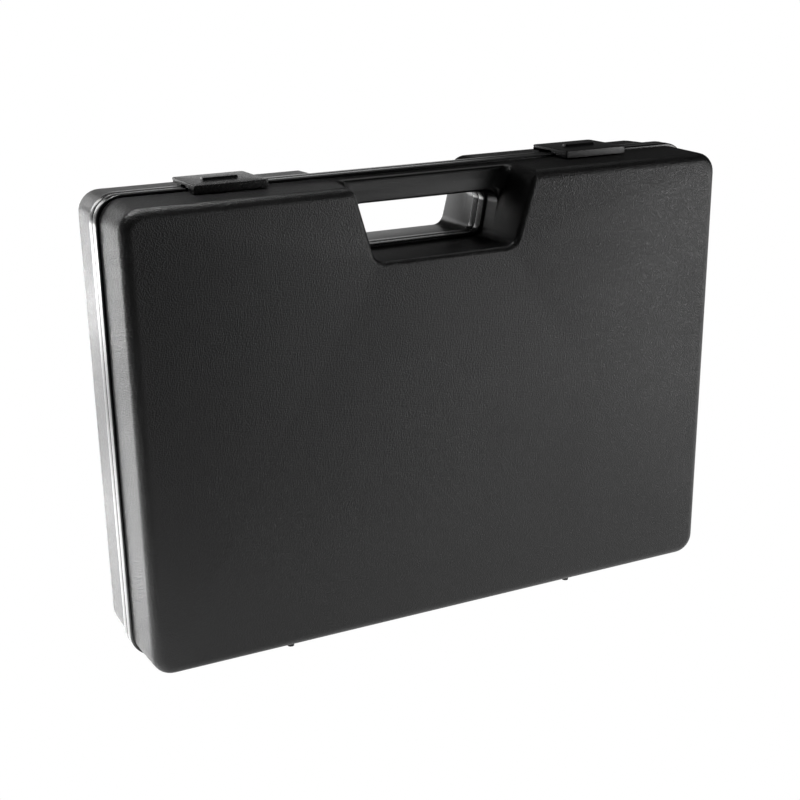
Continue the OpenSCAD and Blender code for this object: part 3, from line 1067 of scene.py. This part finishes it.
SOFTBOXES = (
    Softbox("left_back_bank", (-0.55, 1.95, 0.75), (-0.2, 0.0, 0.3), (0.35, 0.8), 3.5, 180.0),
    Softbox("left_side_bank", (-1.7, 0.9, 0.4), (-0.2, 0.0, 0.12), (1.2, 0.7), 2.0, 180.0),
    Softbox("left_floor_bank", (-0.68, 1.35, 1.1), (-0.66, 1.3, 0.0), (0.6, 0.6), 27.0, 60.0),
    Softbox("left_near_bank", (-0.33, 0.28, 0.9), (-0.31, 0.2, 0.0), (0.4, 0.4), 2.6, 45.0),
    Softbox("right_front_bank", (1.6, -1.3, 0.3), (0.2, 0.0, 0.2), (0.8, 0.5), 8.0, 180.0),
    Softbox("right_floor_bank", (1.2, -1.0, 1.1), (1.2, -1.0, 0.0), (0.6, 0.6), 15.0, 70.0),
    Softbox("top_bank", (0.5, 0.3, 1.6), (0.1, 0.0, 0.3), (0.9, 0.6), 2.0, 180.0),
)


@dataclass(frozen=True)
class Surroundings:
    """How bright the floor and the room look in the case's reflections.

    Attributes:
        floor_side: Side of the floor, in metres.
        floor_grey: Grey of the floor in plain light.
        front: Floor's strength over X + Y, which dulls it towards the front left.
        back: Floor's strength over Y, behind the case.
        slant: Share of Y in the line that bounds the bright floor on the left.
        left: Floor's strength over X + slant * Y.
        behind: Backdrop's strength over the direction's Y.
        low: Backdrop's strength over its Z.
        right_end: Backdrop's strength over its X, at the right end.
        left_end: The same at the left end.
        room: Strength of the room everywhere.
    """

    floor_side: float = 12.0
    floor_grey: float = 0.8
    front: Ramp = Ramp(-0.8, 0.1, 0.06, 1.0)
    back: Ramp = Ramp(-0.2, 0.05)
    slant: float = 0.27
    left: Ramp = Ramp(-0.52, -0.34, 0.08, 1.0)
    behind: Ramp = Ramp(0.1, 0.7)
    low: Ramp = Ramp(0.3, 0.05)
    right_end: Ramp = Ramp(0.46, 0.53, 0.8, 0.1)
    left_end: Ramp = Ramp(-0.5, -0.36, 0.1, 1.0)
    room: float = 0.02


class Studio:
    """Floor, lamps, world and camera."""

    def __init__(
        self, camera: CameraPose, lamps: tuple[Softbox, ...], around: Surroundings
    ) -> None:
        """Keeps the set-up.

        Args:
            camera: The camera's pose.
            lamps: The soft lamps.
            around: Brightness of the floor and the room.
        """
        self.camera = camera
        self.lamps = lamps
        self.around = around

    def floor(self) -> None:
        """Makes the pale floor: plain white in view; to glossy rays it glows with painted light,
        dimmer to the front left.
        """
        around = self.around
        bpy.ops.mesh.primitive_plane_add(size=around.floor_side, location=(0.0, 0.0, 0.0))
        plane = bpy.context.active_object
        plane.name = "studio_floor"
        material = bpy.data.materials.new("studio_floor")
        material.use_nodes = True
        material.node_tree.nodes.clear()
        t = NodeTree(material.node_tree)
        grey = (around.floor_grey, around.floor_grey, around.floor_grey, 1.0)
        matte = t.add("ShaderNodeBsdfDiffuse", inputs={"Color": grey})
        white = t.add("ShaderNodeEmission", inputs={"Color": WHITE, "Strength": 1.0})
        rays = t.add("ShaderNodeLightPath")
        place = t.split(t.add("ShaderNodeNewGeometry").outputs["Position"])
        # Painted light for glossy rays: the floor glows brightest near and behind the case and
        # dims to painted shade towards the front left.
        front = t.remap(t.math("ADD", place["X"], place["Y"]), around.front)
        slant = t.math("ADD", place["X"], t.math("MULTIPLY", place["Y"], around.slant))
        back = t.math(
            "MULTIPLY", t.remap(place["Y"], around.back), t.remap(slant, around.left)
        )
        pale = t.math("MAXIMUM", front, back)
        sheen = t.add("ShaderNodeEmission", inputs={"Color": WHITE})
        t.feed(
            sheen.inputs["Strength"], t.math("MULTIPLY", pale, rays.outputs["Is Glossy Ray"])
        )
        lit = t.add("ShaderNodeAddShader")
        t.feed(lit.inputs[0], matte.outputs["BSDF"])
        t.feed(lit.inputs[1], sheen.outputs["Emission"])
        mix = t.add("ShaderNodeMixShader")
        t.feed(mix.inputs[0], rays.outputs["Is Camera Ray"])
        t.feed(mix.inputs[1], lit.outputs["Shader"])
        t.feed(mix.inputs[2], white.outputs["Emission"])
        out = t.add("ShaderNodeOutputMaterial")
        t.feed(out.inputs["Surface"], mix.outputs["Shader"])
        plane.data.materials.append(material)

    def world(self) -> None:
        """Makes a dim room with a pale backdrop, which the camera sees as white."""
        around = self.around
        world = bpy.data.worlds.new("studio_world")
        bpy.context.scene.world = world
        world.use_nodes = True
        world.node_tree.nodes.clear()
        t = NodeTree(world.node_tree)
        way = t.split(t.add("ShaderNodeTexCoord").outputs["Generated"])
        upright = t.math(
            "MULTIPLY", t.remap(way["Y"], around.behind), t.remap(way["Z"], around.low)
        )
        across = t.math(
            "MULTIPLY", t.remap(way["X"], around.right_end), t.remap(way["X"], around.left_end)
        )
        glow = t.math("ADD", t.math("MULTIPLY", upright, across), around.room)
        room = t.add("ShaderNodeBackground", inputs={"Color": WHITE})
        t.feed(room.inputs["Strength"], glow)
        white = t.add("ShaderNodeBackground", inputs={"Color": WHITE, "Strength": 1.0})
        rays = t.add("ShaderNodeLightPath")
        mix = t.add("ShaderNodeMixShader")
        t.feed(mix.inputs[0], rays.outputs["Is Camera Ray"])
        t.feed(mix.inputs[1], room.outputs["Background"])
        t.feed(mix.inputs[2], white.outputs["Background"])
        out = t.add("ShaderNodeOutputWorld")
        t.feed(out.inputs["Surface"], mix.outputs["Shader"])

    def lamp(self, box: Softbox) -> None:
        """Makes one soft lamp.

        Args:
            box: The lamp's values.
        """
        data = bpy.data.lights.new(box.name, "AREA")
        data.shape = "RECTANGLE"
        data.size, data.size_y = box.size
        data.energy = box.power
        data.spread = math.radians(box.spread)
        lamp = bpy.data.objects.new(box.name, data)
        bpy.context.scene.collection.objects.link(lamp)
        lamp.location = box.place
        aim = Vector(box.target) - Vector(box.place)
        lamp.rotation_euler = aim.to_track_quat("-Z", "Y").to_euler()

    def make_camera(self) -> None:
        """Makes the camera at the photograph's place and framing."""
        pose = self.camera
        yaw, pitch, roll = (math.radians(a) for a in (pose.yaw, pose.pitch, pose.roll))
        ahead = Vector(
            (math.sin(yaw) * math.cos(pitch), math.cos(yaw) * math.cos(pitch), -math.sin(pitch))
        )
        level = Vector((math.cos(yaw), -math.sin(yaw), 0.0))
        down = ahead.cross(level)
        right = math.cos(roll) * level + math.sin(roll) * down
        down = -math.sin(roll) * level + math.cos(roll) * down
        data = bpy.data.cameras.new("photo_camera")
        data.sensor_width = pose.sensor_mm
        data.lens = pose.focal_px / IMAGE_SIDE * pose.sensor_mm
        half = IMAGE_SIDE / 2
        data.shift_x = (half - pose.principal_px[0]) / IMAGE_SIDE
        data.shift_y = (pose.principal_px[1] - half) / IMAGE_SIDE
        data.clip_start, data.clip_end = pose.clip
        camera = bpy.data.objects.new("photo_camera", data)
        bpy.context.scene.collection.objects.link(camera)
        turn = Matrix((right, -down, -ahead)).transposed().to_4x4()
        camera.matrix_world = Matrix.Translation(Vector(pose.place_mm) * MM) @ turn
        bpy.context.scene.camera = camera

    def build(self) -> None:
        """Builds the whole studio."""
        bpy.context.scene.view_settings.view_transform = "Standard"
        self.floor()
        self.world()
        for box in self.lamps:
            self.lamp(box)
        self.make_camera()


def main() -> None:
    """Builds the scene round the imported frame."""
    logging.basicConfig(level=logging.INFO)
    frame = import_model()
    shop = MaterialShop()
    looks = CadLooks(frame, shop)
    looks.dress_all()
    RimBands(BandSizes(), looks.materials["rim"]).build()
    Studio(CameraPose(), SOFTBOXES, Surroundings()).build()


if __name__ == "__main__":
    main()
